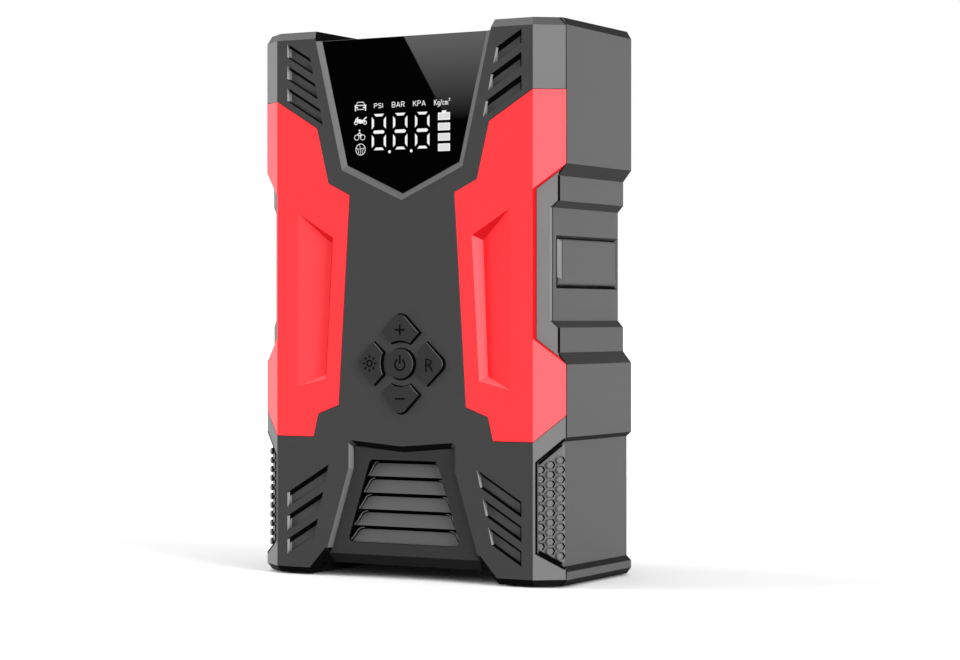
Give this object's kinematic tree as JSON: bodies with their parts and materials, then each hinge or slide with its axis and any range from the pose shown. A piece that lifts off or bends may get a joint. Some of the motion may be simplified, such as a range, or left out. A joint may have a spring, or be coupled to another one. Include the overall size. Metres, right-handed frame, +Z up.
{
  "type": "jump starter pack",
  "caption": "Upright battery pack that starts a vehicle and pumps tyres, with a display lens, a cross of keys, a louvre, red grip panels and hinged port covers.",
  "frame": {"origin": "middle of the bottom of the bounding box, on the surface the pack stands on", "axes": "+Z up, -Y the face with the display and keys, +X to the right of a person who looks at it"},
  "size_m": [0.115, 0.0589, 0.182],
  "materials": {
    "casing_front": "fine grained dark grey",
    "casing_rear": "fine grained grey",
    "red_trim": "satin bright red",
    "lens": "polished black",
    "grip": "moulded grey grip",
    "louvre": "matt grey",
    "keys": "matt black",
    "rubber": "black rubber",
    "screw": "zinc plated",
    "board": "solder mask",
    "display": "glass and black plastic",
    "component": "moulded",
    "cell": "shrink film over a metal cell",
    "inner_plastic": "moulded",
    "socket": "moulded blue",
    "contact": "gold plated",
    "shell_metal": "nickel plated",
    "lamp": "clear moulded",
    "reflector": "bright",
    "brass": "turned",
    "cast": "die cast",
    "motor": "zinc plated can",
    "nylon": "natural nylon",
    "steel": "ground"
  },
  "bodies": {
    "casing": {"front_shell": "casing_front", "rear_shell": "casing_rear", "red_panel_left": "red_trim", "red_panel_right": "red_trim", "display_lens": "lens", "corner_grip_left": "grip", "corner_grip_right": "grip", "louvre_grille": "louvre", "foot_pads": "rubber", "case_screws": "screw", "display_module": "display", "display_board": "board", "key_board": "board", "tact_switches": "component", "board_screws": "screw", "main_board": "board", "board_components": "component", "battery_cells": "cell", "battery_bracket": "inner_plastic", "bracket_screws": "screw", "output_socket": "socket", "output_contacts": "contact", "output_leads": "rubber", "port_block": "inner_plastic", "usb_a_socket": "shell_metal", "usb_c_socket": "shell_metal", "port_board": "board", "lamp_lens": "lamp", "lamp_reflector": "reflector", "lamp_board": "board", "air_outlet": "brass", "air_hose": "rubber", "inflator_frame": "cast", "cylinder": "cast", "cylinder_head": "cast", "head_screws": "screw", "frame_screws": "screw", "motor_can": "motor", "crank_bush": "brass", "cover_pin_left": "steel", "cover_pin_right": "steel"},
    "key_power": {"key_power": "keys"},
    "key_plus": {"key_plus": "keys"},
    "key_minus": {"key_minus": "keys"},
    "key_light": {"key_light": "keys"},
    "key_mode": {"key_mode": "keys"},
    "cover_left": {"port_cover_left": "keys"},
    "cover_right": {"port_cover_right": "keys"},
    "rotor": {"motor_shaft": "steel", "motor_pinion": "brass", "cooling_fan": "inner_plastic"},
    "crank": {"crank_gear": "nylon", "crank_shaft": "steel"},
    "piston": {"piston_rod": "nylon", "piston_seal": "rubber"}
  },
  "joints": [
    {"name": "key_power_press", "type": "slide", "parent": "casing", "child": "key_power", "axis": [0, 1, 0], "range_m": [0, 0.0006], "stiffness_N_per_m": 400},
    {"name": "key_plus_press", "type": "slide", "parent": "casing", "child": "key_plus", "axis": [0, 1, 0], "range_m": [0, 0.0006], "stiffness_N_per_m": 400},
    {"name": "key_minus_press", "type": "slide", "parent": "casing", "child": "key_minus", "axis": [0, 1, 0], "range_m": [0, 0.0006], "stiffness_N_per_m": 400},
    {"name": "key_light_press", "type": "slide", "parent": "casing", "child": "key_light", "axis": [0, 1, 0], "range_m": [0, 0.0006], "stiffness_N_per_m": 400},
    {"name": "key_mode_press", "type": "slide", "parent": "casing", "child": "key_mode", "axis": [0, 1, 0], "range_m": [0, 0.0006], "stiffness_N_per_m": 400},
    {"name": "cover_right_hinge", "type": "hinge", "parent": "casing", "child": "cover_right", "pos_m": [0.051, 0, 0.0981], "axis": [0, 1, 0], "range_deg": [0, 90]},
    {"name": "cover_left_hinge", "type": "hinge", "parent": "casing", "child": "cover_left", "pos_m": [-0.051, 0, 0.0981], "axis": [0, -1, 0], "range_deg": [0, 90]},
    {"name": "crank_spin", "type": "hinge", "parent": "casing", "child": "crank", "pos_m": [0, 0.0105, 0.0244], "axis": [1, 0, 0], "continuous": true},
    {"name": "rotor_spin", "type": "hinge", "parent": "casing", "child": "rotor", "pos_m": [0, -0.0076, 0.0244], "axis": [1, 0, 0], "continuous": true},
    {"name": "rod_turn", "type": "hinge", "parent": "crank", "child": "piston", "pos_m": [0, 0.0105, 0.0219], "axis": [1, 0, 0], "continuous": true}
  ],
  "couplings": [
    {"joint": "rotor_spin", "follows": "crank_spin", "ratio": -4},
    {"joint": "rod_turn", "follows": "crank_spin", "ratio": -1}
  ]
}
